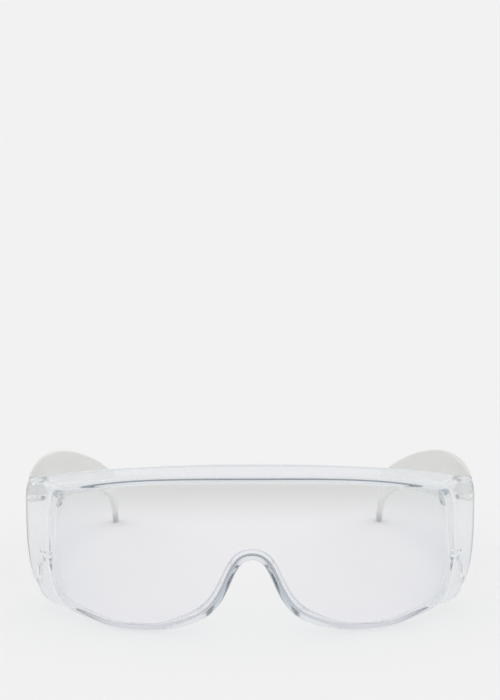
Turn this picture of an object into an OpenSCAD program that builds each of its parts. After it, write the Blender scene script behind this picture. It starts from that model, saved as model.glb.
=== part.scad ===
// Over-glasses safety glasses: a one-piece clear front shield and two folding temples.
// They stand as on a table, on the two lens lobes and the tips of the temples.
// X runs across the face, Y from the front to the back, Z up.
// In the curves below a point is [x, depth, z], where depth counts back from the front of the lens.

/* [Front shield] */
// Width of the lens across its side edges
lens_w = 137.4; // [130:0.2:146]
// Height of the top of the lens above the lowest point of the lobes
lens_h = 54.7; // [51:0.1:58]
// Radius of the lens, seen from above
lens_r = 150; // [125:1:200]
// Thickness of the moulded wall
wall = 2.1; // [1.6:0.1:2.4]
// Outer radius where the lens turns into its surrounding walls
edge_r = 1.2; // [0.8:0.1:3]
// Outer radius of that turn at the four corners
corner_edge_r = 4; // [2.4:0.1:4.4]
// Width across the rear edges of the side shields
shield_w = 159; // [154:0.2:166]
// Depth of the side shields
shield_depth = 50; // [46:0.5:56]
// Depth of the brow guard at the middle
brow_depth = 18; // [13:0.5:24]
// Depth of the lower flange under the lobes
flange_depth = 9.5; // [8.5:0.5:12]

/* [Nose arch] */
// Height of the nose arch
nose_h = 26.4; // [22:0.2:30]
// Distance between the lowest points of the two lobes
lobe_pitch = 84; // [78:0.5:90]
// Fullness of the top of the arch
nose_top = 7.9; // [6:0.1:10]
// Depth of the nose flange
nose_depth = 8; // [6:0.5:11]
// How far the nose flange flares out towards the wearer
nose_flare = 1.4; // [0:0.1:2.5]

/* [Temples] */
// Distance from the front of the lens to the centre of a temple's rounded tip
tip_depth = 149.5; // [140:0.5:158]
// Radius of the rounded tip, seen from the side
tip_r = 3; // [2:0.1:4]
// Distance between the two temple tips, middle to middle
tip_pitch = 106.4; // [92:0.5:118]
// Thickness of a temple
temple_t = 2.2; // [1.6:0.1:2.6]
// Highest point of the arched temple
arch_z = 47.3; // [45:0.1:50]
// Height of the wide middle of the arch
arch_w = 15.7; // [12:0.1:18]
// Angle at which the ear hook dips at its tip
hook_angle = 48; // [36:1:60]

/* [Hinges] */
// Distance from the rear edge of a side shield in to the hinge axis
hinge_inset = 7.5; // [7.1:0.1:8.1]
// Distance from the rear edge of a side shield forward to the hinge axis
hinge_setback = 2.5; // [2.2:0.1:3]
// Height of the middle of the hinge
hinge_z = 38.6; // [37:0.1:38.8]
// Thickness of each of the two lugs
lug_t = 1.5; // [1.2:0.1:1.6]
// Radius of the rounded lugs
lug_r = 2.2; // [2:0.1:2.3]
// Height of the tongue between the lugs
tongue_h = 3.8; // [2.8:0.1:4]
// Diameter of the hinge pin
pin_d = 1.8; // [1.4:0.1:2]

/* [Vents] */
// Length of the long vents, low in each side shield
vent_l = 9.5; // [7:0.5:10]
// Width of the long vents
vent_w = 1.2; // [0.8:0.1:1.6]
// Distance between the long vents
vent_pitch = 4.4; // [3:0.1:4.6]
// Diameter of the large vent hole
vent_hole_d = 2.2; // [1.6:0.1:2.6]
// Diameter of the two small vent holes
vent_small_d = 1.2; // [0.8:0.1:1.4]

/* [Fits] */
// Gap between a hinge pin and the tongue that turns on it
pin_gap = 0.06; // [0.03:0.01:0.1]
// Gap between a hinge pin and the lugs that hold it
pin_seat_gap = 0.01; // [0.01:0.01:0.03]
// Gap between the tongue and each lug
tongue_gap = 0.1; // [0.05:0.01:0.2]
// Gap between an open temple and the rear edge of its side shield
stop_gap = 0.3; // [0.2:0.05:0.5]

/* [Hidden] */
$fn = 48;
tiny = 0.01;

total_depth = tip_depth + tip_r;
hinge_x = shield_w / 2 - hinge_inset;
hinge_depth = shield_depth - hinge_setback;
hinge_h = 2 * lug_t + 2 * tongue_gap + tongue_h;
pin_r = pin_d / 2;

// Curves: a cubic arc has four control points, and an outline is a chain of arcs.
function cubic(p, u) = pow(1 - u, 3) * p[0] + 3 * u * pow(1 - u, 2) * p[1]
    + 3 * u * u * (1 - u) * p[2] + pow(u, 3) * p[3];
function arc_points(p, steps, first) = [for (k = [first:steps]) cubic(p, k / steps)];
function chain(arcs, steps) =
    [for (a = [0:len(arcs) - 1]) each arc_points(arcs[a], steps[a], a == 0 ? 0 : 1)];
function unit(v) = v / norm(v);
function flip_x(p) = [-p[0], p[1], p[2]];
function sag(x) = lens_r - sqrt(lens_r * lens_r - x * x);

// Half of the outline of the lens, from the top of the nose arch round to the top of the brow.
side_x = lens_w / 2;
lobe_x = lobe_pitch / 2;
side_low_z = 22;
side_high_z = 34;
flank = [lobe_x - 23.4, 0, 4.6];
flank_dir = [cos(23.5), 0, -sin(23.5)];
brow_x = side_x - 7.1;
brow_z = lens_h - 6.2;
nose_arc = [[0, 0, nose_h], [nose_top, 0, nose_h], flank - 14.3 * flank_dir, flank];
sole_arc = [flank, flank + 7 * flank_dir, [lobe_x - 11, 0, 0], [lobe_x, 0, 0]];
lobe_arc = [[lobe_x, 0, 0], [lobe_x + 11, 0, 0], [side_x - 2.2, 0, 3.4], [side_x, 0, side_low_z]];
side_arc = [[side_x, 0, side_low_z], [side_x + 0.3, 0, 26], [side_x, 0, 30], [side_x, 0, side_high_z]];
corner_arc = [[side_x, 0, side_high_z], [side_x, 0, side_high_z + 10.4], [brow_x + 5, 0, brow_z - 1.3],
    [brow_x, 0, brow_z]];
brow_arc = [[brow_x, 0, brow_z], [brow_x - 15.5, 0, brow_z + 4], [32, 0, lens_h], [0, 0, lens_h]];

// Half of the rear edge, in step with the outline.
rear_x = shield_w / 2;
rear_flank = flank + [nose_flare, nose_depth + 0.5, 0];
nose_edge = [[0, nose_depth, nose_h + 0.2], [nose_top + nose_flare, nose_depth, nose_h + 0.2],
    rear_flank - 14.3 * flank_dir, rear_flank];
sole_edge = [rear_flank, rear_flank + 7 * flank_dir, [lobe_x - 11, flange_depth - 1.6, 0],
    [lobe_x, flange_depth, 0]];
floor_x = rear_x - 20;
floor_depth = flange_depth + 7.4;
floor_z = 4.1;
low_x = rear_x - 0.4;
low_z = 19.8;
low_depth = shield_depth - 1.4;
lobe_edge = [[lobe_x, flange_depth, 0], [lobe_x + 5, flange_depth + 1.3, 0],
    [floor_x - 7, floor_depth - 4.8, floor_z - 1.8], [floor_x, floor_depth, floor_z]];
floor_edge = [[floor_x, floor_depth, floor_z], [floor_x + 8, floor_depth + 7.6, floor_z + 0.4],
    [rear_x - 2.2, shield_depth - 10, -1.2], [low_x, low_depth, low_z]];
side_edge = [[low_x, low_depth, low_z], [rear_x, low_depth + 0.6, low_z + 4], [rear_x, shield_depth, 30],
    [rear_x, shield_depth, side_high_z]];
top_x = rear_x - 7.1;
top_depth = shield_depth - 5.1;
top_z = side_high_z + 10.3;
corner_edge = [[rear_x, shield_depth, side_high_z], [rear_x, shield_depth, top_z - 0.6],
    [top_x + 5.6, shield_depth, top_z - 1.9], [top_x, top_depth, top_z]];
brow_edge = [[top_x, top_depth, top_z], [top_x - 10.2, top_depth - 13, top_z + 5.2],
    [33.5, brow_depth, lens_h + 0.4], [0, brow_depth, lens_h + 0.4]];

// The two halves hold as many points over the arch and lobe as over the brow and corner.
nose_steps = 9;
sole_steps = 5;
lobe_steps = 12;
side_steps = 6;
corner_steps = 10;
brow_steps = 16;
half_steps = [nose_steps, sole_steps, lobe_steps, side_steps, corner_steps, brow_steps];
rear_steps = [nose_steps, sole_steps, lobe_steps / 2, lobe_steps / 2, side_steps, corner_steps, brow_steps];
low_steps = nose_steps + sole_steps + lobe_steps;
half_last = 2 * low_steps + side_steps;
loop_n = 2 * half_last;

front_arcs = [nose_arc, sole_arc, lobe_arc, side_arc, corner_arc, brow_arc];
rear_arcs = [nose_edge, sole_edge, lobe_edge, floor_edge, side_edge, corner_edge, brow_edge];
front_half = [for (p = chain(front_arcs, half_steps)) [p[0], sag(p[0]), p[2]]];
rear_half = chain(rear_arcs, rear_steps);
function around(half, i) = i <= half_last ? half[i] : flip_x(half[loop_n - i]);
knee = [for (i = [0:loop_n - 1]) around(front_half, i)];
rear = [for (i = [0:loop_n - 1]) around(rear_half, i)];
function wrap(i) = (i + loop_n) % loop_n;

// Directions at each point of the outline: along it, back along the wall, and into the material.
along = [for (i = [0:loop_n - 1]) unit(knee[wrap(i + 1)] - knee[wrap(i - 1)])];
rear_along = [for (i = [0:loop_n - 1]) unit(rear[wrap(i + 1)] - rear[wrap(i - 1)])];
back = [for (i = [0:loop_n - 1]) unit(rear[i] - knee[i])];
function lens_in(x) = [-x, sqrt(lens_r * lens_r - x * x), 0] / lens_r;
lens_out_dir = [for (i = [0:loop_n - 1]) unit(cross(lens_in(knee[i][0]), along[i]))];
wall_in = [for (i = [0:loop_n - 1]) unit(cross(along[i], back[i]))];
rear_in = [for (i = [0:loop_n - 1]) unit(cross(rear_along[i], back[i]))];

// The turn from lens to wall is wider at the four corners. Its arm along the lens and its reach along
// the wall follow from its radius.
low_from = nose_steps + sole_steps + 1;
high_from = low_steps + side_steps;
corner_turns = [[low_from, edge_r], [low_from + 6, corner_edge_r], [low_steps + 1, edge_r],
    [high_from + 1, edge_r], [high_from + 6, corner_edge_r], [high_from + 14, edge_r]];
function half_index(i) = i <= half_last ? i : loop_n - i;
function turn_r(i) = lookup(half_index(i), corner_turns);
function turn_arm(i, r) =
    let (c = lens_out_dir[i] * unit(cross(wall_in[i], along[i]))) r * sqrt((1 - c) / (1 + c));
function turn_reach(i, r) = turn_arm(i, r) / norm(cross(along[i], back[i])) * back[i];

turn_steps = 4;
wall_steps = 4;
ring_n = turn_steps + wall_steps + 1;
function bend(a, b, c, u) = (1 - u) * (1 - u) * a + 2 * u * (1 - u) * b + u * u * c;
function onto_lens(p) = [p[0], sag(p[0]), p[2]];
function ring(start, mid, stop, end, s) = s <= turn_steps ? bend(start, mid, stop, s / turn_steps)
    : stop + (end - stop) * (s - turn_steps) / wall_steps;

// Outside, the turn has the radius turn_r. Inside it keeps the wall's thickness.
function inner_r(i) = max(turn_r(i), wall + 0.15);
function lens_start(i, r) = onto_lens(knee[i] - turn_arm(i, r) * lens_out_dir[i]);
function inner_of(p) = p + wall * lens_in(p[0]);
function rear_inner(i) =
    let (p = rear[i] + wall * rear_in[i]) p - (p[1] - rear[i][1]) / back[i][1] * back[i];
function outer_ring(i, s) =
    ring(lens_start(i, turn_r(i)), knee[i], knee[i] + turn_reach(i, turn_r(i)), rear[i], s);
function inner_ring(i, s) = let (k = knee[i], n = lens_in(k[0]), w = wall_in[i])
    ring(inner_of(lens_start(i, inner_r(i))), k + wall * (n + w) / (1 + n * w),
        k + turn_reach(i, inner_r(i)) + wall * w, rear_inner(i), s);

// The face of the lens is a net of columns between the lower and the upper outline.
function low_i(c) = wrap(c);
function high_i(c) = half_last - c;
function face_point(a, b, r) = onto_lens(a + (b - a) * r / side_steps);
inner_cols = [for (c = [1 - low_steps:low_steps - 1]) c];
inner_rows = [for (r = [1:side_steps - 1]) r];
face_outer = [for (c = inner_cols) for (r = inner_rows)
    face_point(lens_start(low_i(c), turn_r(low_i(c))), lens_start(high_i(c), turn_r(high_i(c))), r)];
face_inner = [for (c = inner_cols) for (r = inner_rows) inner_of(
    face_point(lens_start(low_i(c), inner_r(low_i(c))), lens_start(high_i(c), inner_r(high_i(c))), r))];
rings_outer = [for (s = [0:ring_n - 1]) for (i = [0:loop_n - 1]) outer_ring(i, s)];
rings_inner = [for (s = [0:ring_n - 1]) for (i = [0:loop_n - 1]) inner_ring(i, s)];
skin_n = len(rings_outer) + len(face_outer);
function face_index(c, r) = r == 0 ? low_i(c) : r == side_steps ? high_i(c)
    : c == low_steps ? low_steps + r : c == -low_steps ? loop_n - low_steps - r
    : len(rings_outer) + (c + low_steps - 1) * (side_steps - 1) + r - 1;
function quad(a, b, c, d) = [[a, b, c], [a, c, d]];
function skin_faces(base, inside) = [
    for (c = [-low_steps:low_steps - 1]) for (r = [0:side_steps - 1])
        each inside
            ? quad(base + face_index(c, r), base + face_index(c + 1, r), base + face_index(c + 1, r + 1),
                base + face_index(c, r + 1))
            : quad(base + face_index(c, r), base + face_index(c, r + 1), base + face_index(c + 1, r + 1),
                base + face_index(c + 1, r)),
    for (s = [0:ring_n - 2]) for (i = [0:loop_n - 1])
        let (a = base + s * loop_n + i, b = base + s * loop_n + wrap(i + 1))
        each inside ? quad(a, a + loop_n, b + loop_n, b) : quad(a, b, b + loop_n, a + loop_n)
];
rim_base = (ring_n - 1) * loop_n;
rim_faces = [for (i = [0:loop_n - 1])
    each quad(rim_base + i, rim_base + wrap(i + 1), skin_n + rim_base + wrap(i + 1), skin_n + rim_base + i)];

module moulded_shell() {
    polyhedron(points = concat(rings_outer, face_outer, rings_inner, face_inner),
        faces = concat(skin_faces(0, false), skin_faces(skin_n, true), rim_faces), convexity = 6);
}

// Middle of the side wall at a depth behind the lens, for what is fused to it or cut in it.
function shield_mid_x(depth) = side_x - wall / 2
    + (rear_x - side_x) * (depth - sag(side_x)) / (shield_depth - sag(side_x));

// Hinge: two lugs stand in from the side wall, and the temple's tongue turns between them.
module at_hinge(z) {
    translate([hinge_x, hinge_depth, z]) children();
}

module lug_plan() {
    root_depth = hinge_depth - lug_r - 1;
    lug_back = shield_depth - 0.8;
    in_wall = wall / 4;
    translate([hinge_x, hinge_depth]) circle(lug_r);
    polygon([[hinge_x, hinge_depth - lug_r], [shield_mid_x(root_depth) - in_wall, root_depth],
        [shield_mid_x(lug_back) - in_wall, lug_back], [hinge_x, lug_back]]);
}

module hinge_lugs() {
    translate([0, 0, hinge_z - hinge_h / 2]) linear_extrude(hinge_h) lug_plan();
}

module tongue_slot() {
    slot_h = tongue_h + 2 * tongue_gap;
    inner = hinge_x - lug_r - 1;
    front = hinge_depth - lug_r - 1.4;
    outer = shield_mid_x(shield_depth) - wall / 2 - 0.7;
    translate([0, 0, hinge_z - slot_h / 2]) linear_extrude(slot_h)
        polygon([[inner, front], [hinge_x + lug_r, front], [outer, shield_depth],
            [outer, shield_depth + 1], [inner, shield_depth + 1]]);
}

module pin_bore(gap) {
    at_hinge(hinge_z - hinge_h / 2 - 1) cylinder(r = pin_r + gap, h = hinge_h + 2);
}

// Vents low in the side shield: two long slots and three round holes.
vent_lean = 25;
vent_depth = shield_depth - 20;
vent_z = 14.2;
module across_wall(depth, z) {
    translate([shield_mid_x(depth) - 4 * wall, depth, z]) children();
}

module round_vent(depth, z, d) {
    across_wall(depth, z) rotate([0, 90, 0]) cylinder(d = d, h = 7 * wall);
}

module slot_shape(l, w) {
    for (end = [-1, 1])
        translate([end * (l - w) / 2, 0]) circle(d = w, $fn = 24);
    square([l - w, w], center = true);
}

module long_vent(depth, z) {
    across_wall(depth, z) rotate([-vent_lean, 0, 0]) rotate([0, 90, 0])
        linear_extrude(7 * wall) slot_shape(vent_l, vent_w);
}

module side_vents() {
    for (k = [0, 1]) long_vent(vent_depth + k * vent_pitch, vent_z - k * vent_pitch / 2);
    round_vent(vent_depth - 5.3, vent_z + 6.2, vent_hole_d);
    round_vent(vent_depth - 1.5, vent_z + 7.8, vent_small_d);
    round_vent(vent_depth - 6.8, vent_z + 8.9, vent_small_d);
}

module both_sides() {
    children();
    mirror([1, 0, 0]) children();
}

module front_shield() {
    color([0.84, 0.92, 0.96, 0.6]) translate([0, -total_depth / 2, 0]) difference() {
        union() {
            moulded_shell();
            both_sides() hinge_lugs();
        }
        both_sides() {
            tongue_slot();
            pin_bore(pin_seat_gap);
            side_vents();
        }
    }
}

// Temple: a thin arched plate that narrows and dips into the ear hook.
plate_r = temple_t / 2;
temple_front = shield_depth + stop_gap;
end_low_z = hinge_z - 4.2;
end_high_z = hinge_z + 4.2;
arch_depth = shield_depth + 16;
arch_low_z = arch_z - arch_w;
function tip_point(angle) = [tip_depth + tip_r * cos(angle), tip_r + tip_r * sin(angle)];
tip_top = tip_point(90 - hook_angle);
tip_low = tip_point(-90 - hook_angle);
hook_dir = [cos(hook_angle), -sin(hook_angle)];
neck_dir = [cos(23.5), -sin(23.5)];
neck_top = [tip_depth - 22, arch_z - 20.4];
neck_low = [tip_depth - 23.5, arch_z - 31];
temple_top = chain([
    [[temple_front, end_high_z], [temple_front + 3.4, arch_z - 2.4], [arch_depth - 7, arch_z],
        [arch_depth, arch_z]],
    [[arch_depth, arch_z], [arch_depth + 21.4, arch_z], neck_top - 29.6 * neck_dir, neck_top],
    [neck_top, neck_top + 10 * neck_dir, tip_top - 9 * hook_dir, tip_top]], [8, 16, 8]);
temple_low = chain([
    [[temple_front, end_low_z], [temple_front + 4, end_low_z - 1.9], [arch_depth - 3, arch_low_z],
        [arch_depth + 6, arch_low_z]],
    [[arch_depth + 6, arch_low_z], [arch_depth + 26, arch_low_z], neck_low - 17 * neck_dir, neck_low],
    [neck_low, neck_low + 8 * neck_dir, tip_low - 8 * hook_dir, tip_low]], [8, 16, 8]);
cap_steps = 4;
cap_first = min(hook_angle, 90 - hook_angle);
cap_second = max(hook_angle, 90 - hook_angle);
cap_turns = concat([for (k = [1:cap_steps]) k * cap_first / cap_steps], [cap_second],
    [for (k = [1:cap_steps - 1]) cap_second + k * (90 - cap_second) / cap_steps]);
ribs = concat([for (k = [0:len(temple_top) - 1]) [temple_low[k], temple_top[k]]],
    [for (a = cap_turns) [tip_point(-90 - hook_angle + a), tip_point(90 - hook_angle - a)]]);
tip_end = tip_point(-hook_angle);

// The plate leans in from the side shield to the ear, then runs straight back.
ear_run = 0.28 * tip_depth;
plan = [[rear_x - 1 - plate_r, temple_front], [rear_x - 4.4, temple_front + 17],
    [tip_pitch / 2 - 1.5, tip_depth - ear_run], [tip_pitch / 2, tip_depth + tip_r]];
plan_steps = 24;
plan_points = chain([plan], [plan_steps]);
plan_table = [for (p = plan_points) [p[1], p[0]]];
function plate_x(depth) = lookup(depth, plan_table);
function plate_normal(depth) = unit([2, plate_x(depth - 1) - plate_x(depth + 1)]);
edge_turns = [0, 30, 60, 90];
function rib_half(rib, side) = let (
    w = norm(rib[1] - rib[0]), r = min(plate_r, w / 2), dir = unit(rib[1] - rib[0]),
    up = [for (a = edge_turns) [r * (1 - cos(a)), r * sin(a)]],
    down = [for (k = [len(edge_turns) - 1:-1:0]) [w - up[k][0], up[k][1]]])
    [for (q = concat(up, down)) let (p = rib[0] + dir * q[0], n = plate_normal(p[0]))
        [plate_x(p[0]) + side * n[0] * q[1], p[0] + side * n[1] * q[1], p[1]]];
function rib_loop(rib) = let (a = rib_half(rib, 1), b = rib_half(rib, -1), m = len(a))
    concat(a, [for (k = [m - 2:-1:1]) b[k]]);
rib_loops = [for (rib = ribs) rib_loop(rib)];
rib_n = len(rib_loops[0]);
temple_points = concat([for (loop = rib_loops) each loop], [[plate_x(tip_end[0]), tip_end[0], tip_end[1]]]);
last_rib = (len(rib_loops) - 1) * rib_n;
temple_faces = concat(
    [for (s = [0:len(rib_loops) - 2]) for (k = [0:rib_n - 1])
        let (a = s * rib_n + k, b = s * rib_n + (k + 1) % rib_n) each quad(a, b, b + rib_n, a + rib_n)],
    [[for (k = [rib_n - 1:-1:0]) k]],
    [for (k = [0:rib_n - 1]) [last_rib + k, last_rib + (k + 1) % rib_n, len(temple_points) - 1]]);

module temple_plate() {
    polyhedron(points = temple_points, faces = temple_faces, convexity = 4);
}

module tongue() {
    root = temple_front + 9;
    translate([0, 0, hinge_z - tongue_h / 2]) linear_extrude(tongue_h) {
        translate([hinge_x, hinge_depth]) circle(lug_r - 0.2);
        polygon([[hinge_x - 2, hinge_depth + 1.2], [plate_x(root) - plate_r - 0.6, root],
            [plate_x(root), root], [plate_x(temple_front), temple_front],
            [plate_x(temple_front) - plate_r, temple_front - 0.3], [hinge_x + 2, hinge_depth - 1.2]]);
    }
}

module temple_right() {
    color([0.87, 0.87, 0.86]) translate([0, -total_depth / 2, 0]) difference() {
        union() {
            temple_plate();
            tongue();
        }
        pin_bore(pin_gap);
    }
}

module temple_left() {
    mirror([1, 0, 0]) temple_right();
}

// Pin: a steel rod with eased ends, flush with the faces of the two lugs.
module hinge_pin_right() {
    ease = 0.2;
    color([0.72, 0.73, 0.75]) translate([0, -total_depth / 2, 0]) union() {
        at_hinge(hinge_z - hinge_h / 2 + ease) cylinder(r = pin_r, h = hinge_h - 2 * ease);
        at_hinge(hinge_z - hinge_h / 2) cylinder(r1 = pin_r - ease, r2 = pin_r, h = ease);
        at_hinge(hinge_z + hinge_h / 2 - ease) cylinder(r1 = pin_r, r2 = pin_r - ease, h = ease);
    }
}

module hinge_pin_left() {
    mirror([1, 0, 0]) hinge_pin_right();
}

front_shield();
temple_left();
temple_right();
hinge_pin_left();
hinge_pin_right();
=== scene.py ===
"""Over-glasses safety glasses: the finished look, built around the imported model.

The clear front and the two milky temples are worked out again here from the same arcs as the
solids, on finer nets and with eased edges, so that light bends through them smoothly. The hinge
pins are the solids. Points are [x, depth, z] in millimetres, where depth counts back from the front
of the lens, and side is 1 towards +X and -1 towards -X.
"""

import math

import bpy
import numpy as np
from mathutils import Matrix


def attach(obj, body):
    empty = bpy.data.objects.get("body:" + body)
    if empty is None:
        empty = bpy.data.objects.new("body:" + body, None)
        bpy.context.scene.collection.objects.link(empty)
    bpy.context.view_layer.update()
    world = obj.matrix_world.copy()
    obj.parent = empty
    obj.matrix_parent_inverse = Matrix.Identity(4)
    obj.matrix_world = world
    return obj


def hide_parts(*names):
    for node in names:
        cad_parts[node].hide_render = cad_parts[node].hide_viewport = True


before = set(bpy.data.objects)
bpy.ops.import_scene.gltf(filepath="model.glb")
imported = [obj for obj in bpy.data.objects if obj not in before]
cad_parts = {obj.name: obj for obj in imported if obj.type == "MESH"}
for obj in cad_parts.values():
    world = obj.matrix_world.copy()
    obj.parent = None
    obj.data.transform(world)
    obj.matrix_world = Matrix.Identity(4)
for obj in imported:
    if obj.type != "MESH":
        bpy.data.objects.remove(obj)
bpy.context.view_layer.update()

MM = 0.001

# Sizes of the front, as in the solids.
LENS_W, LENS_H, LENS_R = 137.4, 54.7, 150.0
WALL, EDGE_R, CORNER_EDGE_R = 2.1, 1.2, 4.0
SHIELD_W, SHIELD_DEPTH, BROW_DEPTH, FLANGE_DEPTH = 159.0, 50.0, 18.0, 9.5
NOSE_H, LOBE_PITCH, NOSE_TOP, NOSE_DEPTH, NOSE_FLARE = 26.4, 84.0, 7.9, 8.0, 1.4
FLANK_DIP, SIDE_LOW_Z, SIDE_HIGH_Z = 23.5, 22.0, 34.0
VENT_L, VENT_W, VENT_PITCH, VENT_HOLE_D, VENT_SMALL_D = 9.5, 1.2, 4.4, 2.2, 1.2
VENT_SETBACK, VENT_Z, VENT_LEAN = 20.0, 14.2, 25.0

# Sizes of the temples and hinges, as in the solids.
TIP_DEPTH, TIP_R, TIP_PITCH, TEMPLE_T = 149.5, 3.0, 106.4, 2.2
ARCH_Z, ARCH_W, NECK_DIP, HOOK_ANGLE = 47.3, 15.7, 23.5, 48.0
HINGE_INSET, HINGE_SETBACK, HINGE_Z, ROOT_H = 7.5, 2.5, 38.6, 8.4
LUG_T, LUG_R, TONGUE_H, PIN_D = 1.5, 2.2, 3.8, 1.8
PIN_GAP, PIN_SEAT_GAP, TONGUE_GAP, STOP_GAP = 0.06, 0.01, 0.1, 0.3

# Sizes of the finished look alone: rounded rims and edges, and the band in the inner corner.
RIM_R, LUG_EASE, TONGUE_EASE, CRISP_ANGLE = 0.45, 0.2, 0.25, 32
NOSE_EDGE_R, HIGH_CORNER_EDGE_R, BROW_EDGE_R, INNER_EDGE_MIN = 0.8, 5.5, 2.4, 0.25
NOSE_BAND, LOW_BAND, SIDE_BAND, HIGH_BAND = 2.1, 4.5, 2.5, 5.4
LOBE_LIFT = 1.0

HALF_DEPTH = (TIP_DEPTH + TIP_R) / 2
SIDE_X, LOBE_X, REAR_X = LENS_W / 2, LOBE_PITCH / 2, SHIELD_W / 2
HINGE_X = SHIELD_W / 2 - HINGE_INSET
HINGE_DEPTH = SHIELD_DEPTH - HINGE_SETBACK
HINGE_H = 2 * LUG_T + 2 * TONGUE_GAP + TONGUE_H

# Colours of the finishes.
CLEAR_COLOUR, WALL_TINT = (0.985, 0.99, 1.0, 1), (0.40, 0.52, 0.60, 1)
# The rims clear at the front, and greyer further back: painted shade.
FRONT_RIM, REAR_RIM_SHADE = (0.99, 0.99, 0.995, 1), (0.74, 0.765, 0.80, 1)
# Painted shade: the grey of a dark line painted along the upper rear rims.
SHADE_LINE_GREY = (0.30, 0.34, 0.40, 1)
SHADOW_LIGHT, LATE_LIGHT = (0.98, 0.985, 0.99, 1), (0.90, 0.91, 0.92, 1)
MILK_DIM, MILK_PALE = (0.93, 0.93, 0.89, 1), (0.97, 0.97, 0.93, 1)
# Painted shade at the low end of each temple's tip, next to the floor.
TIP_SHADE = (0.66, 0.68, 0.70, 1)
STEEL_DIM, STEEL_PALE = (0.50, 0.51, 0.53, 1), (0.72, 0.73, 0.75, 1)

# How the plastics treat light: bending, haze, tint, and the most turns that a ray makes in them.
CLEAR_IOR, MILKY_IOR, SHADE_LINE_ROUGH = 1.585, 1.5, 0.5
TINT_PER_METRE, LAST_TURN = 6.0, 4.5
GRAIN_WAVES = 2600

# Where a finish changes, from one place to another in metres of the model's frame.
# Depths over which the rims turn to their painted shade further back.
REAR_SHADE_Y = (-0.040, -0.030)
# Heights over which the painted shade line comes in on the outer rims.
BROW_SHADE_Z = (0.036, 0.046)
# Heights over which the painted shade of the temple tips fades.
TIP_SHADE_Z = (0.001, 0.007)


# Materials.

class Signal:
    """A number in a shader, which can be added, multiplied and so on like any number."""

    def __init__(self, finish, socket):
        self.finish, self.socket = finish, socket

    def join(self, operation, other, first=False):
        """The outcome of a Math node on this number and another, which may come first."""
        terms = (other, self) if first else (self, other)
        return self.finish.add("ShaderNodeMath", {"operation": operation}, dict(enumerate(terms)))

    def __add__(self, other):
        return self.join("ADD", other)

    def __radd__(self, other):
        return self.join("ADD", other, True)

    def __sub__(self, other):
        return self.join("SUBTRACT", other)

    def __rsub__(self, other):
        return self.join("SUBTRACT", other, True)

    def __mul__(self, other):
        return self.join("MULTIPLY", other)

    def __rmul__(self, other):
        return self.join("MULTIPLY", other, True)

    def size(self):
        """This number without its sign."""
        return self.join("ABSOLUTE", 0.0)

    def smooth(self, low, high):
        """0 below low, 1 above high, and eased in between."""
        return self.finish.add("ShaderNodeMapRange", {"interpolation_type": "SMOOTHSTEP"},
                               {"Value": self, "From Min": low, "From Max": high})


class Finish:
    """The node tree of a material or of the world, to which every node is added by one method."""

    def __init__(self, holder):
        holder.use_nodes = True
        self.tree = holder.node_tree
        self.tree.nodes.clear()

    def add(self, kind, settings=None, sockets=None, out=0):
        """A node of this kind: its settings first, then its sockets, given by name or number."""
        node = self.tree.nodes.new(kind)
        for key, value in (settings or {}).items():
            setattr(node, key, value)
        for key, value in (sockets or {}).items():
            if isinstance(value, Signal):
                self.tree.links.new(value.socket, node.inputs[key])
            else:
                node.inputs[key].default_value = value
        return Signal(self, node.outputs[out]) if len(node.outputs) else node

    def mix(self, share, first, second):
        """A colour between two colours."""
        return self.add("ShaderNodeMix", {"data_type": "RGBA"}, {0: share, 6: first, 7: second}, 2)

    def blend(self, share, first, second):
        """A shader between two shaders."""
        return self.add("ShaderNodeMixShader", {}, {0: share, 1: first, 2: second})

    def light_path(self, name):
        """What kind of ray asks."""
        return self.add("ShaderNodeLightPath", out=name)

    def spot(self, axis=None):
        """Where on the object a point is, or its distance along one axis."""
        at = self.add("ShaderNodeTexCoord", out="Object")
        return at if axis is None else self.add("ShaderNodeSeparateXYZ", {}, {0: at}, axis)

    def noise(self, waves, detail=2.0):
        """A cloudy pattern of about 0 to 1, with this number of waves in a metre."""
        return self.add("ShaderNodeTexNoise", {},
                        {"Vector": self.spot(), "Scale": waves, "Detail": detail})

    def bump(self, height, distance, strength=1.0):
        """A surface that rises by distance in metres where height is 1."""
        return self.add("ShaderNodeBump", {},
                        {"Height": height, "Distance": distance, "Strength": strength})

    def surface(self, shader, **volume):
        """Ends the tree in the shader of the surface, and in that of the volume if there is one."""
        self.add("ShaderNodeOutputMaterial", {}, {"Surface": shader, **volume})


def material(name):
    """A new material with an empty tree."""
    made = bpy.data.materials.new(name)
    return made, Finish(made)


def clear_plastic(name, colour, rough, bump, shade_share):
    """See-through plastic with a light shadow and a faint blue tint in its depth.

    Colour, rough, bump and the share of painted shade are functions of the finish f. That share
    lays a plain grey over the plastic, a painted dark line of shade. Light that has turned more
    than
    LAST_TURN times goes straight out, dimmed to LATE_LIGHT.
    """
    made, f = material(name)
    shader = f.add("ShaderNodeBsdfPrincipled", {}, {
        "Base Color": colour(f), "Roughness": rough(f), "IOR": CLEAR_IOR,
        "Transmission Weight": 1.0, "Normal": bump(f)})
    shade_coat = f.add("ShaderNodeBsdfPrincipled", {}, {"Base Color": SHADE_LINE_GREY, "Roughness": SHADE_LINE_ROUGH})
    shader = f.blend(shade_share(f), shader, shade_coat)
    shaded = f.light_path("Is Shadow Ray").join("MAXIMUM", f.light_path("Is Diffuse Ray"))
    light = f.add("ShaderNodeBsdfTransparent", {}, {"Color": SHADOW_LIGHT})
    shader = f.blend(shaded, shader, light)
    late = f.light_path("Ray Depth").join("GREATER_THAN", LAST_TURN)
    dim = f.add("ShaderNodeBsdfTransparent", {}, {"Color": LATE_LIGHT})
    shader = f.blend(late, shader, dim)
    tint = f.add("ShaderNodeVolumeAbsorption", {}, {"Color": WALL_TINT, "Density": TINT_PER_METRE})
    f.surface(shader, Volume=tint)
    return made


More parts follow.
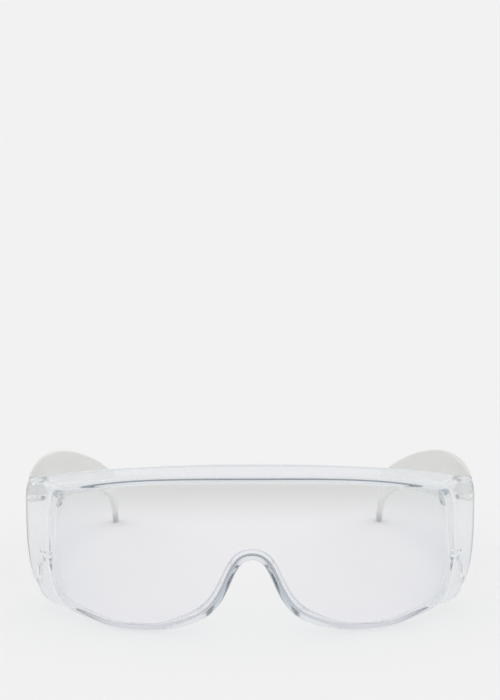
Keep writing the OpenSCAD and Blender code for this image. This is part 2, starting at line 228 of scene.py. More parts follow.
def clear_polycarbonate():
    """Clear plastic with a soft flow in its surface and the least haze from handling."""
    return clear_plastic(
        "clear_polycarbonate",
        colour=lambda f: CLEAR_COLOUR,
        rough=lambda f: f.noise(160, 3.0).smooth(0.45, 0.8) * 0.03 + 0.012,
        bump=lambda f: f.bump(f.noise(38, 1.0), 0.02 * MM),
        shade_share=lambda f: 0.0)


def frosted_edge(name, shade_share):
    """The same plastic, left matt by the mould at the rims and vents, and greyer behind: painted
    shade.
    """
    return clear_plastic(
        name,
        colour=lambda f: f.mix(f.spot("Y").smooth(*REAR_SHADE_Y), FRONT_RIM, REAR_RIM_SHADE),
        rough=lambda f: f.noise(900, 3.0) * 0.1 + 0.07,
        bump=lambda f: f.bump(f.noise(GRAIN_WAVES), 0.03 * MM),
        shade_share=shade_share)


def milky_plastic():
    """Frosted, slightly see-through plastic with faint clouds in it and painted shade at the tip's
    low end.
    """
    made, f = material("milky_plastic")
    cloud = f.noise(55, 3.0)
    colour = f.mix(cloud.smooth(0.35, 0.7), MILK_DIM, MILK_PALE)
    # Painted shade: the tip darker towards the floor.
    colour = f.mix(f.spot("Z").smooth(*TIP_SHADE_Z), TIP_SHADE, colour)
    shader = f.add("ShaderNodeBsdfPrincipled", {}, {
        "Base Color": colour, "Roughness": cloud * 0.12 + 0.3, "IOR": MILKY_IOR,
        "Transmission Weight": 0.35, "Subsurface Weight": 0.35, "Subsurface Scale": 4 * MM,
        "Subsurface Radius": (1.0, 1.0, 0.95),
        "Normal": f.bump(f.noise(GRAIN_WAVES), 0.02 * MM, 0.5)})
    f.surface(shader)
    return made


def drawn_steel():
    """Bright steel rod with fine rings from drawing, along Z."""
    made, f = material("drawn_steel")
    drawn = f.add("ShaderNodeMapping", {}, {"Vector": f.spot(), "Scale": (300.0, 300.0, 9000.0)})
    rings = f.add("ShaderNodeTexNoise", {}, {"Vector": drawn, "Scale": 1.0, "Detail": 2.0})
    shader = f.add("ShaderNodeBsdfPrincipled", {}, {
        "Base Color": f.mix(rings, STEEL_DIM, STEEL_PALE), "Metallic": 1.0,
        "Roughness": rings * 0.2 + 0.22, "Normal": f.bump(rings, 0.01 * MM)})
    f.surface(shader)
    return made


CLEAR, MILKY, STEEL = clear_polycarbonate(), milky_plastic(), drawn_steel()
EDGE = frosted_edge("frosted_edge", lambda f: 0.0)
# The outer rim rounding with painted shade, a grey line along the brow and the upper rims.
BROW_SHADE_LINE = frosted_edge("frosted_edge_brow_shade", lambda f: f.spot("Z").smooth(*BROW_SHADE_Z))


# Curves and nets.

def unit(v):
    """Each vector divided by its own length."""
    return v / np.linalg.norm(v, axis=-1, keepdims=True)


def cubic(points, u):
    """A cubic arc: its four control points weighted by (1-u)^3, 3u(1-u)^2, 3u^2(1-u) and u^3."""
    a, b, c, d = np.asarray(points, float)
    u = np.asarray(u, float)[:, None]
    return (1 - u) ** 3 * a + 3 * u * (1 - u) ** 2 * b + 3 * u * u * (1 - u) * c + u ** 3 * d


def chain(arcs, steps):
    """Arcs end to end, each divided into its number of equal steps of u."""
    return np.concatenate([cubic(arc, np.arange(k > 0, n + 1) / n)
                           for k, (arc, n) in enumerate(zip(arcs, steps))])


def bend(a, b, c, u):
    """A turn from a to c that first heads for b: (1-u)^2 a + 2u(1-u) b + u^2 c."""
    return (1 - u) ** 2 * a + 2 * u * (1 - u) * b + u * u * c


def smooth_steps(x, stops):
    """Eases from stop to stop: between two stops the share is 3t^2 - 2t^3."""
    at, value = np.array(stops, float).T
    k = np.clip(np.searchsorted(at, x, side="right") - 1, 0, len(at) - 2)
    t = np.clip((x - at[k]) / (at[k + 1] - at[k]), 0, 1)
    return value[k] + (value[k + 1] - value[k]) * t * t * (3 - 2 * t)


def eased_around(values, reach):
    """Values round a closed loop, each the mean of its neighbours up to reach places away."""
    return sum(np.roll(values, k) for k in range(-reach, reach + 1)) / (2 * reach + 1)


def downhill(degrees):
    """The direction onwards and down at this angle, as its part onwards and its part along z."""
    return np.array([math.cos(math.radians(degrees)), -math.sin(math.radians(degrees))])


def place(points):
    """From [x, depth, z] in millimetres to the model's frame in metres."""
    p = np.asarray(points, float)
    return np.stack([p[..., 0], p[..., 1] - HALF_DEPTH, p[..., 2]], -1) * MM


def link(name, data):
    """A new object in the scene that shows a mesh or holds a camera."""
    thing = bpy.data.objects.new(name, data)
    bpy.context.scene.collection.objects.link(thing)
    return thing


def solid(name, points, faces, *finishes):
    """A closed mesh object with its finishes, from points in millimetres and faces of any size.

    The corners a, b, c of its triangles enclose the sum of a . (b x c) / 6, which is above 0 where
    the faces point outwards; if it isn't, all of them are turned round.
    """
    mesh = bpy.data.meshes.new(name)
    mesh.from_pydata(place(points).tolist(), [], [list(map(int, f)) for f in faces])
    mesh.calc_loop_triangles()
    corners = np.empty(len(mesh.loop_triangles) * 3, np.int32)
    mesh.loop_triangles.foreach_get("vertices", corners)
    a, b, c = np.moveaxis(np.asarray(points, float)[corners.reshape(-1, 3)], 1, 0)
    if np.sum(a * np.cross(b, c)) < 0:
        mesh.flip_normals()
    for finish in finishes:
        mesh.materials.append(finish)
    return link(name, mesh)


def ring_faces(ring_count, around, base=0):
    """Quads between rings of equal length that lie one after another in the list of points."""
    s, i = np.meshgrid(np.arange(ring_count - 1), np.arange(around), indexing="ij")
    a, b = base + s * around + i, base + s * around + (i + 1) % around
    return np.stack([a, b, b + around, a + around], -1).reshape(-1, 4)


def capped_rings(ring_count, around):
    """The quads between rings, and one face over each end."""
    last = (ring_count - 1) * around
    caps = [list(range(around))[::-1], list(range(last, last + around))]
    return ring_faces(ring_count, around).tolist() + caps


def mirrored(points):
    """The same points at the other side of the plane X = 0."""
    return np.asarray(points, float) * [-1, 1, 1]


def combine(thing, tool, operation):
    """Joins a tool to a piece or cuts it out of it, and removes the tool."""
    change = thing.modifiers.new("change", "BOOLEAN")
    change.operation, change.solver, change.object = operation, "MANIFOLD", tool
    change.material_mode = "TRANSFER"
    changed = thing.evaluated_get(bpy.context.evaluated_depsgraph_get())
    made = bpy.data.meshes.new_from_object(changed)
    thing.modifiers.clear()
    thing.data = made
    bpy.data.objects.remove(tool)


def shade(thing):
    """Smooth shading that stays crisp at edges sharper than CRISP_ANGLE."""
    thing.data.polygons.foreach_set("use_smooth", np.ones(len(thing.data.polygons), bool))
    thing.data.set_sharp_from_angle(angle=math.radians(CRISP_ANGLE))


def prism(name, plan, low, high, ease, side, finish):
    """A plan of [x, depth] points raised from low to high, with both its rims rounded by ease.

    A ring at angle a of the quarter circle lies ease(1 - sin a) within the plan and ease(1 - cos a)
    from the end.
    """
    plan = np.asarray(plan, float)
    turn = unit(np.roll(plan, -1, 0) - np.roll(plan, 1, 0))
    inward = np.stack([-turn[:, 1], turn[:, 0]], 1)
    area = np.sum(plan[:, 0] * np.roll(plan[:, 1], -1) - plan[:, 1] * np.roll(plan[:, 0], -1))
    inward = inward * np.sign(area)
    quarter = np.radians([0, 30, 60, 90]) if ease else np.radians([90])
    rings = [(low + ease * (1 - math.cos(a)), ease * (1 - math.sin(a))) for a in quarter]
    rings = rings + [(low + high - z, inset) for z, inset in rings[::-1]]
    points = np.concatenate([np.column_stack([plan + inward * inset, np.full(len(plan), z)])
                             for z, inset in rings])
    return solid(name, points * [side, 1, 1], capped_rings(len(rings), len(plan)), finish)


def circle(x, depth, r, steps=48, start=0.0, stop=360.0):
    """Points round a circle in plan, from the start angle to the stop angle."""
    whole = abs(stop - start) >= 360
    a = np.radians(np.linspace(start, stop, steps, endpoint=not whole))
    return np.stack([x + r * np.cos(a), depth + r * np.sin(a)], 1)


def pin_bore(gap, side, finish):
    """The tool for the bore of a hinge pin, wider than the pin by the gap all round."""
    plan = circle(HINGE_X, HINGE_DEPTH, PIN_D / 2 + gap)
    return prism("bore", plan, HINGE_Z - HINGE_H, HINGE_Z + HINGE_H, 0, side, finish)


# The clear front.

# Steps of the arcs of the half outline, and how finely the looks divide each step.
NOSE_STEPS, SOLE_STEPS, LOBE_STEPS, SIDE_STEPS, CORNER_STEPS, BROW_STEPS = 9, 5, 12, 6, 10, 16
FINE = 4
LOW_STEPS = (NOSE_STEPS + SOLE_STEPS + LOBE_STEPS) * FINE
HALF_LAST = 2 * LOW_STEPS + SIDE_STEPS * FINE
LOOP = 2 * HALF_LAST
TURN_STEPS, WALL_STEPS, RIM_STEPS, EASE_REACH = 12, 24, 4, 6

# Places on the half outline, in steps from the middle of the nose to the middle of the brow.
LOBE_AT = NOSE_STEPS + SOLE_STEPS + 1
SIDE_AT = NOSE_STEPS + SOLE_STEPS + LOBE_STEPS
CORNER_AT = SIDE_AT + SIDE_STEPS
PAST_END = 99

# The radius of the edge between lens and wall, and the least width of the inner band, by place.
EDGE_RADII = [
    (0, NOSE_EDGE_R), (LOBE_AT - 6, NOSE_EDGE_R), (LOBE_AT, EDGE_R), (LOBE_AT + 6, CORNER_EDGE_R),
    (SIDE_AT + 1, EDGE_R), (CORNER_AT + 1, EDGE_R), (CORNER_AT + 6, HIGH_CORNER_EDGE_R),
    (CORNER_AT + 14, BROW_EDGE_R), (PAST_END, BROW_EDGE_R)]
BAND_WIDTHS = [
    (0, 0), (LOBE_AT - 4, NOSE_BAND), (LOBE_AT + 7, LOW_BAND), (LOBE_AT + 9, LOW_BAND - 0.2),
    (SIDE_AT + 1, SIDE_BAND), (CORNER_AT + 4, HIGH_BAND), (CORNER_AT + 16, 0), (PAST_END, 0)]

# The round vents: how far each lies behind the first slot and above it, and its diameter.
VENT_HOLES = [(-5.3, 6.2, VENT_HOLE_D), (-1.5, 7.8, VENT_SMALL_D), (-6.8, 8.9, VENT_SMALL_D)]
VENT_TOOL_REACH = 4.0


def lens_sag(x):
    """How far the cylinder of the lens has turned back at x: R - sqrt(R^2 - x^2)."""
    return LENS_R - np.sqrt(LENS_R ** 2 - x ** 2)


def lens_in(x):
    """Direction from the front of the lens into its material, towards the cylinder's axis."""
    return np.stack([-x, np.sqrt(LENS_R ** 2 - x ** 2), np.zeros_like(x)], -1) / LENS_R


def onto_lens(p):
    """The point of the lens straight behind or before p."""
    return np.stack([p[..., 0], lens_sag(p[..., 0]), p[..., 2]], -1)


def both_halves(half):
    """A half outline from the nose to the brow, then its mirror image back to the nose."""
    return np.concatenate([half, mirrored(half[1:-1][::-1])])


def outlines():
    """The outline of the lens and the rear edge of its walls, in step, as two closed loops.

    Each half is a chain of cubic arcs. The ends of the arcs have names, and the points between the
    ends pull an arc towards the photograph's outline.
    """
    onwards, down = downhill(FLANK_DIP)
    flank_dir = np.array([onwards, 0, down])
    flank = np.array([LOBE_X - 23.4, 0, 4.6])
    lobe, low, high = (LOBE_X, 0, LOBE_LIFT), (SIDE_X, 0, SIDE_LOW_Z), (SIDE_X, 0, SIDE_HIGH_Z)
    brow = np.array([SIDE_X - 7.1, 0, LENS_H - 6.2])
    front = [
        [(0, 0, NOSE_H), (NOSE_TOP, 0, NOSE_H), flank - 14.3 * flank_dir, flank],
        [flank, flank + 7 * flank_dir, (LOBE_X - 11, 0, LOBE_LIFT), lobe],
        [lobe, (LOBE_X + 13.5, 0, LOBE_LIFT), (SIDE_X - 0.9, 0, 3.2), low],
        [low, (SIDE_X + 0.3, 0, 26), (SIDE_X, 0, 30), high],
        [high, (SIDE_X, 0, SIDE_HIGH_Z + 10.4), brow + [5, 0, -1.3], brow],
        [brow, brow + [-15.5, 0, 4], (32, 0, LENS_H), (0, 0, LENS_H)],
    ]
    nose_z, brow_z = NOSE_H + 0.2, LENS_H + 0.4
    flank = flank + [NOSE_FLARE, NOSE_DEPTH + 0.5, 0]
    lobe, high = np.array([LOBE_X, FLANGE_DEPTH, 0]), (REAR_X, SHIELD_DEPTH, SIDE_HIGH_Z)
    heel = np.array([REAR_X - 20, FLANGE_DEPTH + 7.4, 4.1])
    low = np.array([REAR_X - 0.4, SHIELD_DEPTH - 1.4, 19.8])
    top = np.array([REAR_X - 7.1, SHIELD_DEPTH - 5.1, SIDE_HIGH_Z + 10.3])
    rear = [
        [(0, NOSE_DEPTH, nose_z), (NOSE_TOP + NOSE_FLARE, NOSE_DEPTH, nose_z),
         flank - 14.3 * flank_dir, flank],
        [flank, flank + 7 * flank_dir, lobe + [-11, -1.6, 0], lobe],
        [lobe, lobe + [5, 1.3, 0], heel + [-7, -4.8, -1.8], heel],
        [heel, heel + [8, 7.6, 0.4], (REAR_X - 2.2, SHIELD_DEPTH - 10, -1.2), low],
        [low, (REAR_X, low[1] + 0.6, low[2] + 4), (REAR_X, SHIELD_DEPTH, 30), high],
        [high, (REAR_X, SHIELD_DEPTH, top[2] - 0.6),
         (top[0] + 5.6, SHIELD_DEPTH, top[2] - 1.9), top],
        [top, top + [-10.2, -13, 5.2], (33.5, BROW_DEPTH, brow_z), (0, BROW_DEPTH, brow_z)],
    ]
    arcs = (NOSE_STEPS, SOLE_STEPS, LOBE_STEPS, SIDE_STEPS, CORNER_STEPS, BROW_STEPS)
    whole = [n * FINE for n in arcs]
    split = whole[:2] + [LOBE_STEPS * FINE // 2] * 2 + whole[3:]
    return both_halves(onto_lens(chain(front, whole))), both_halves(chain(rear, split))


def shell_rings(inside):
    """All rings of one skin of the front, from the edge of the lens face to the rear rim.

    A ring bends from the lens into the wall, runs straight along the wall and turns over the rim.
    An edge of radius r needs a bend of r sqrt((1 - c) / (1 + c)), where c is the cosine of the turn
    from lens to wall. On the inner skin, which lies one wall thickness in, the bend is at least as
    wide as the band.
    """
    knee, rear = outlines()
    along, rear_along = (unit(np.roll(p, -1, 0) - np.roll(p, 1, 0)) for p in (knee, rear))
    back = unit(rear - knee)
    face_in = lens_in(knee[:, 0])
    lens_out = unit(np.cross(face_in, along))
    wall_in = unit(np.cross(along, back))
    rear_in = unit(np.cross(rear_along, back))
    turn_cos = np.sum(lens_out * unit(np.cross(wall_in, along)), -1)

    place_in_half = np.minimum(np.arange(LOOP), LOOP - np.arange(LOOP)) / FINE
    radius = smooth_steps(place_in_half, EDGE_RADII)
    if inside:
        radius = np.maximum(radius, WALL + INNER_EDGE_MIN)
    arm = radius * np.sqrt((1 - turn_cos) / (1 + turn_cos))
    if inside:
        arm = np.maximum(arm, smooth_steps(place_in_half, BAND_WIDTHS))
    arm = eased_around(arm, EASE_REACH)[:, None]
    reach = arm / np.linalg.norm(np.cross(along, back), axis=-1, keepdims=True)

    start, corner, stop, end = onto_lens(knee - arm * lens_out), knee, knee + reach * back, rear
    moved = rear + WALL * rear_in
    rear_inner = moved - (moved[:, 1:2] - rear[:, 1:2]) / back[:, 1:2] * back
    rim_in = unit(rear_inner - rear)
    if inside:
        start = start + WALL * lens_in(start[:, 0])
        both = np.sum(face_in * wall_in, -1, keepdims=True)
        corner = knee + WALL * (face_in + wall_in) / (1 + both)
        stop = stop + WALL * wall_in
        end, rim_in = rear_inner, -rim_in

    before_rim, after_rim = end - RIM_R * unit(end - stop), end + RIM_R * rim_in
    rings = [bend(start, corner, stop, s / TURN_STEPS) for s in range(TURN_STEPS + 1)]
    rings += [stop + (before_rim - stop) * s / WALL_STEPS for s in range(1, WALL_STEPS + 1)]
    rings += [bend(before_rim, end, after_rim, s / RIM_STEPS) for s in range(1, RIM_STEPS + 1)]
    return np.array(rings)


def lens_net(ring, inside):
    """Columns of the lens face between the lower and the upper part of its first ring."""
    columns = np.arange(1 - LOW_STEPS, LOW_STEPS)
    low, high = ring[columns % LOOP], ring[HALF_LAST - columns]
    rows = (np.arange(1, SIDE_STEPS * FINE) / (SIDE_STEPS * FINE))[None, :, None]
    flat = low[:, None, :] + (high - low)[:, None, :] * rows
    if not inside:
        return onto_lens(flat).reshape(-1, 3)
    depth = LENS_R - np.sqrt((LENS_R - WALL) ** 2 - flat[..., 0] ** 2)
    return np.stack([flat[..., 0], depth, flat[..., 2]], -1).reshape(-1, 3)


def skin_faces(ring_count, base, inside):
    """Faces of one skin: the net of the lens, then the quads between its rings, facing outwards."""
    last_row = SIDE_STEPS * FINE
    columns, rows = np.meshgrid(np.arange(-LOW_STEPS, LOW_STEPS + 1), np.arange(last_row + 1),
                                indexing="ij")
    net = ring_count * LOOP + (columns + LOW_STEPS - 1) * (last_row - 1) + rows - 1
    top = (HALF_LAST - columns) % LOOP
    index = np.where(rows == 0, columns % LOOP, np.where(rows == last_row, top, net))
    between = (rows > 0) & (rows < last_row)
    index = np.where((columns == LOW_STEPS) & between, LOW_STEPS + rows, index)
    index = np.where((columns == -LOW_STEPS) & between, LOOP - LOW_STEPS - rows, index)
    a, b, c, d = index[:-1, :-1], index[1:, :-1], index[1:, 1:], index[:-1, 1:]
    face = np.stack([a, b, c, d] if inside else [a, d, c, b], -1).reshape(-1, 4) + base
    rings = ring_faces(ring_count, LOOP, base)
    return np.concatenate([face, rings[:, ::-1] if inside else rings])


def clear_shell(name):
    """The moulded front as one closed surface: outer skin, inner skin and the rim between them.

    The outer rounding of the rim has the frosted finish with painted shade, a grey line along the
    brow and the tops of the side walls, and the rest of it the plain frosted one.
    """
    outer, inner = shell_rings(False), shell_rings(True)
    count = len(outer)
    skins = [outer.reshape(-1, 3), lens_net(outer[0], False),
             inner.reshape(-1, 3), lens_net(inner[0], True)]
    base = len(skins[0]) + len(skins[1])
    last = (count - 1) * LOOP
    i = np.arange(LOOP)
    j = (i + 1) % LOOP
    rim = np.stack([last + i, last + j, base + last + j, base + last + i], -1)
    outer_faces, inner_faces = skin_faces(count, 0, False), skin_faces(count, base, True)
    faces = np.concatenate([outer_faces, inner_faces, rim])
    thing = solid(name, np.concatenate(skins), faces.tolist(), CLEAR, EDGE, BROW_SHADE_LINE)
    finish = np.zeros(len(faces), np.int32)
    rounded = RIM_STEPS * LOOP
    finish[len(outer_faces) - rounded:len(outer_faces)] = 2
    finish[len(outer_faces) + len(inner_faces) - rounded:] = 1
    thing.data.polygons.foreach_set("material_index", finish)
    return thing


def wall_middle_x(depth):
    """Middle of the side wall at a depth behind the lens."""
    start = lens_sag(SIDE_X)
    return SIDE_X - WALL / 2 + (REAR_X - SIDE_X) * (depth - start) / (SHIELD_DEPTH - start)


def lug_plan():
    """A circle round the pin, running out into the side wall."""
    root, rear = HINGE_DEPTH - LUG_R - 1, SHIELD_DEPTH - 0.8
    leave = math.degrees(math.asin((rear - HINGE_DEPTH) / LUG_R))
    arc = circle(HINGE_X, HINGE_DEPTH, LUG_R, 40, -90, leave - 360)
    in_wall = WALL / 4
    ends = [(wall_middle_x(depth) - in_wall, depth) for depth in (rear, root)]
    return np.concatenate([arc, ends])


def vent_tool(depth, z, plan, lean, side):
    """A plan in the wall's own plane, leaned back from the vertical and pushed across the wall."""
    c, s = math.cos(math.radians(lean)), math.sin(math.radians(lean))
    u, v = plan[:, 0], plan[:, 1]
    ring = np.stack([depth - u * s + v * c, z + u * c + v * s], 1)
    middle = wall_middle_x(depth)
    points = np.concatenate([np.column_stack([np.full(len(ring), middle + x), ring])
                             for x in (-VENT_TOOL_REACH, VENT_TOOL_REACH)])
    return solid("vent", points * [side, 1, 1], capped_rings(2, len(ring)), EDGE)


def slot_plan(length, width):
    """Two half circles joined by straight sides."""
    half, r = (length - width) / 2, width / 2
    return np.concatenate([circle(half, 0, r, 13, -90, 90), circle(-half, 0, r, 13, 90, 270)])


def clear_front():
    """The whole front: its shell with lugs joined to it, and with its bores and vents cut."""
    thing = clear_shell("clear_front")
    depth, slot = SHIELD_DEPTH - VENT_SETBACK, slot_plan(VENT_L, VENT_W)
    for side in (1, -1):
        for low in (HINGE_Z - HINGE_H / 2, HINGE_Z + HINGE_H / 2 - LUG_T):
            lug = prism("lug", lug_plan(), low, low + LUG_T, LUG_EASE, side, CLEAR)
            combine(thing, lug, "UNION")
        combine(thing, pin_bore(PIN_SEAT_GAP, side, EDGE), "DIFFERENCE")
        for step in (0, VENT_PITCH):
            tool = vent_tool(depth + step, VENT_Z - step / 2, slot, VENT_LEAN, side)
            combine(thing, tool, "DIFFERENCE")
        for back, up, across in VENT_HOLES:
            tool = vent_tool(depth + back, VENT_Z + up, circle(0, 0, across / 2, 32), 0, side)
            combine(thing, tool, "DIFFERENCE")
    shade(thing)
    return thing


# The temples.

PLATE_R = TEMPLE_T / 2
TEMPLE_FRONT = SHIELD_DEPTH + STOP_GAP
PLAN_ARC = [(REAR_X - 1 - PLATE_R, TEMPLE_FRONT), (REAR_X - 4.4, TEMPLE_FRONT + 17),
            (TIP_PITCH / 2 - 1.5, TIP_DEPTH - 0.28 * TIP_DEPTH), (TIP_PITCH / 2, TIP_DEPTH + TIP_R)]
PLAN_POINTS = cubic(PLAN_ARC, np.linspace(0, 1, 97))


def plate_x(depth):
    """Middle of the plate at a depth, from the arc that it follows in plan."""
    return np.interp(depth, PLAN_POINTS[:, 1], PLAN_POINTS[:, 0])


def tip_point(degrees):
    """A point of the rounded tip, seen from the side."""
    a = np.radians(degrees)
    return np.stack([TIP_DEPTH + TIP_R * np.cos(a), TIP_R + TIP_R * np.sin(a)], -1)


def temple_ribs():
    """Pairs of points below and above, from the hinge end to the tip, as [depth, z].

    Both edges are chains of cubic arcs, from the hinge over the arch to the neck and the hook, and
    then turn round the tip until they meet.
    """
    arch_depth, arch_low_z = SHIELD_DEPTH + 16, ARCH_Z - ARCH_W
    low_z, high_z = HINGE_Z - ROOT_H / 2, HINGE_Z + ROOT_H / 2
    low_turn, top_turn = -90 - HOOK_ANGLE, 90 - HOOK_ANGLE
    tip_low, tip_top = tip_point(low_turn), tip_point(top_turn)
    hook_dir, neck_dir = downhill(HOOK_ANGLE), downhill(NECK_DIP)
    arch, arch_low = (arch_depth, ARCH_Z), (arch_depth + 6, arch_low_z)
    neck = np.array([TIP_DEPTH - 22, ARCH_Z - 20.4])
    neck_low = np.array([TIP_DEPTH - 23.5, ARCH_Z - 31])
    steps = [24, 48, 24]
    top = chain([
        [(TEMPLE_FRONT, high_z), (TEMPLE_FRONT + 3.4, ARCH_Z - 2.4),
         (arch_depth - 7, ARCH_Z), arch],
        [arch, (arch_depth + 15.5, ARCH_Z), neck - 29.6 * neck_dir, neck],
        [neck, neck + 10 * neck_dir, tip_top - 9 * hook_dir, tip_top]], steps)
    low = chain([
        [(TEMPLE_FRONT, low_z), (TEMPLE_FRONT + 4, low_z - 1.9),
         (arch_depth - 3, arch_low_z), arch_low],
        [arch_low, (arch_depth + 26, arch_low_z), neck_low - 17 * neck_dir, neck_low],
        [neck_low, neck_low + 8 * neck_dir, tip_low - 8 * hook_dir, tip_low]], steps)
    turns = 90 * np.arange(1, 12) / 12
    return (np.concatenate([low, tip_point(low_turn + turns)]),
            np.concatenate([top, tip_point(top_turn - turns)]))


def temple_plate(name, side):
    """The arched plate: each rib is a rounded strip, full in the middle and round at its ends.

    Along a rib of width w the edge rises as r sin(a) at r(1 - cos(a)) from its end, r being half
    the thickness or half of w where that is less.
    """
    low, top = temple_ribs()
    width = np.linalg.norm(top - low, axis=1)[:, None]
    up = (top - low) / width
    r = np.minimum(PLATE_R, width / 2)
    a = np.radians(np.linspace(0, 90, 9))[None, :]
    rise, run = r * np.sin(a), r * (1 - np.cos(a))
    middle = r + (width - 2 * r) * np.linspace(0, 1, 8)[None, 1:-1]
    q = np.concatenate([run, middle, (width - run)[:, ::-1]], 1)
    h = np.concatenate([rise, np.broadcast_to(r, middle.shape), rise[:, ::-1]], 1)
    q, h = np.concatenate([q, q[:, -2:0:-1]], 1), np.concatenate([h, -h[:, -2:0:-1]], 1)
    depth = low[:, None, 0] + up[:, None, 0] * q
    z = low[:, None, 1] + up[:, None, 1] * q
    slope = plate_x(depth - 1) - plate_x(depth + 1)
    length = np.sqrt(4 + slope ** 2)
    points = np.stack([plate_x(depth) + h * 2 / length, depth + h * slope / length, z], -1)
    ribs, around = q.shape
    tip = tip_point(-HOOK_ANGLE)
    points = np.concatenate([points.reshape(-1, 3), [[plate_x(tip[0]), *tip]]])
    last = (ribs - 1) * around
    faces = ring_faces(ribs, around).tolist() + [list(range(around))[::-1]]
    faces += [[last + k, last + (k + 1) % around, len(points) - 1] for k in range(around)]
    return solid(name, points * [side, 1, 1], faces, MILKY)


def tongue_plan():
    """The knuckle round the pin and the arm that joins it to the plate."""
    root, front_x = TEMPLE_FRONT + 9, plate_x(TEMPLE_FRONT)
    knuckle = circle(HINGE_X, HINGE_DEPTH, LUG_R - 0.2, 40, -36.9, -216.9)
    arm = [(plate_x(root) - PLATE_R - 0.6, root), (plate_x(root), root),
           (front_x, TEMPLE_FRONT), (front_x - PLATE_R, TEMPLE_FRONT - 0.3)]
    return np.concatenate([knuckle, arm])


def temple(name, side):
    """A temple with its hinge tongue joined to the plate and bored for the pin."""
    thing = temple_plate(name, side)
    low, high = HINGE_Z - TONGUE_H / 2, HINGE_Z + TONGUE_H / 2
    combine(thing, prism("tongue", tongue_plan(), low, high, TONGUE_EASE, side, MILKY), "UNION")
    combine(thing, pin_bore(PIN_GAP, side, MILKY), "DIFFERENCE")
    shade(thing)
    return thing


# The pieces on their bodies.

def dress(thing, body, slot, *nodes):
    """Lets a new piece ride on its body and stand for its solids."""
    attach(thing, body)
    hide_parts(*nodes)


dress(clear_front(), "front", "clear_front", "front_shield")
dress(temple("milky_temple_left", -1), "left_temple", "milky_temple", "temple_left")
dress(temple("milky_temple_right", 1), "right_temple", "milky_temple", "temple_right")
for pin in ("hinge_pin_left", "hinge_pin_right"):
    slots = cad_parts[pin].data.materials
    slots.clear()
    slots.append(STEEL)


# Floor, light and camera.

# The floor's own colour, and what light that has passed through the clear front finds: painted
# shade on the floor close behind the front, further back, beyond the temples and at the sides,
# then the studio above and at the sides.
PAPER = (0.887, 0.887, 0.887, 1)
SEEN_NEAR, SEEN_FAR = (0.860, 0.848, 0.868, 1), (0.680, 0.684, 0.660, 1)
SEEN_BEYOND, SEEN_ASIDE = (0.80, 0.80, 0.81, 1), (0.70, 0.73, 0.745, 1)
SEEN_SKY, SEEN_SIDES = (0.78, 0.80, 0.82, 1), (0.38, 0.44, 0.50, 1)
FLOOR_HALF = 30000.0

# The studio low down behind the camera, low down beyond the object, and overhead.
LOW_NEAR, LOW_FAR = (0.67, 0.69, 0.72, 1), (0.90, 0.92, 0.95, 1)
OVERHEAD = (1.068, 1.062, 1.052, 1)

# The camera in metres and degrees, and its focal length in pixels of a picture 700 pixels high.
CAMERA_DISTANCE, CAMERA_BASE_Z, CAMERA_RISE, CAMERA_TURN = 0.700, 0.028, 16.0, 0.72
AIM_DOWN, AIM_TURN = 10.40, -0.659
SENSOR, FOCAL_PIXELS, PICTURE_PIXELS = 36.0, 2103.2, 700.0


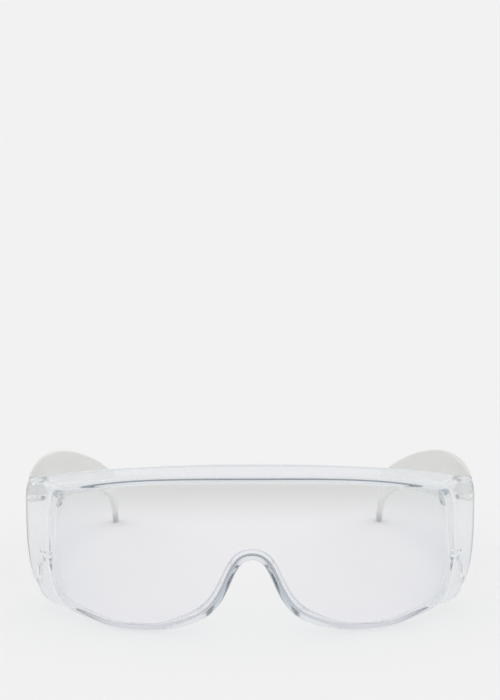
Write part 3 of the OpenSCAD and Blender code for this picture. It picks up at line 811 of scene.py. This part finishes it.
def paper_floor():
    """A wide sheet of pale paper, which is seen a little darker through the clear front: painted
    shade.

    Each share rises from 0 to 1 between two places in metres: far and beyond along Y, and the inner
    and outer sides along X without its sign, the outer ones less so further back.
    """
    size = FLOOR_HALF
    corners = [(-size, -size, 0), (size, -size, 0), (size, size, 0), (-size, size, 0)]
    mesh = bpy.data.meshes.new("floor")
    mesh.from_pydata((np.array(corners) * MM).tolist(), [], [(0, 1, 2, 3)])
    made, f = material("paper")
    far, beyond = f.spot("Y").smooth(0.061, 0.135), f.spot("Y").smooth(0.126, 0.142)
    aside = f.spot("X").size()
    inner = aside.smooth(0.045, 0.080) * 0.45
    outer = aside.smooth(0.062, 0.078) * (0.6 - f.spot("Y").smooth(0.0, 0.07) * 0.5)
    # Painted shade on the floor, seen only by light through the clear front.
    seen = f.mix(beyond, f.mix(far, SEEN_NEAR, SEEN_FAR), SEEN_BEYOND)
    seen = f.mix(outer, f.mix(inner, seen, SEEN_ASIDE), SEEN_ASIDE)
    colour = f.mix(f.light_path("Is Transmission Ray"), PAPER, seen)
    f.surface(f.add("ShaderNodeBsdfDiffuse", {}, {"Color": colour}))
    mesh.materials.append(made)
    link("floor", mesh)


def studio():
    """Soft light all round: brightest overhead, pale beyond the object, dimmer behind the camera.

    A ray's direction has the parts aside, away and up, from -1 to 1, and each share rises from 0 to
    1 between two values of a part. Light that has passed through the clear front finds a plain grey
    studio, darker at both sides.
    """
    world = bpy.data.worlds.new("studio")
    bpy.context.scene.world = world
    f = Finish(world)
    way = f.add("ShaderNodeTexCoord", out="Generated")
    aside, away, up = (f.add("ShaderNodeSeparateXYZ", {}, {0: way}, axis) for axis in "XYZ")
    low = f.mix(away.smooth(-0.5, 0.5), LOW_NEAR, LOW_FAR)
    straight = f.mix(up.smooth(0.2, 0.75), low, OVERHEAD)
    through = f.mix(aside.size().smooth(0.40, 0.85), SEEN_SKY, SEEN_SIDES)
    colour = f.mix(f.light_path("Is Transmission Ray"), straight, through)
    light = f.add("ShaderNodeBackground", {}, {"Color": colour})
    f.add("ShaderNodeOutputWorld", {}, {"Surface": light})


def camera():
    """At the photograph's angle: 700 mm from the lens and 16 degrees up, aimed above the object."""
    data = bpy.data.cameras.new("camera")
    data.sensor_width, data.lens = SENSOR, FOCAL_PIXELS * SENSOR / PICTURE_PIXELS
    data.clip_start, data.clip_end = 0.01, 100.0
    thing = link("camera", data)
    rise, turn = math.radians(CAMERA_RISE), math.radians(CAMERA_TURN)
    thing.location = (
        -CAMERA_DISTANCE * math.cos(rise) * math.sin(turn),
        -HALF_DEPTH * MM - CAMERA_DISTANCE * math.cos(rise) * math.cos(turn),
        CAMERA_BASE_Z + CAMERA_DISTANCE * math.sin(rise))
    thing.rotation_euler = (math.radians(90 - AIM_DOWN), 0, math.radians(AIM_TURN))
    bpy.context.scene.camera = thing


paper_floor()
studio()
camera()

bpy.context.scene.view_settings.view_transform = "Standard"
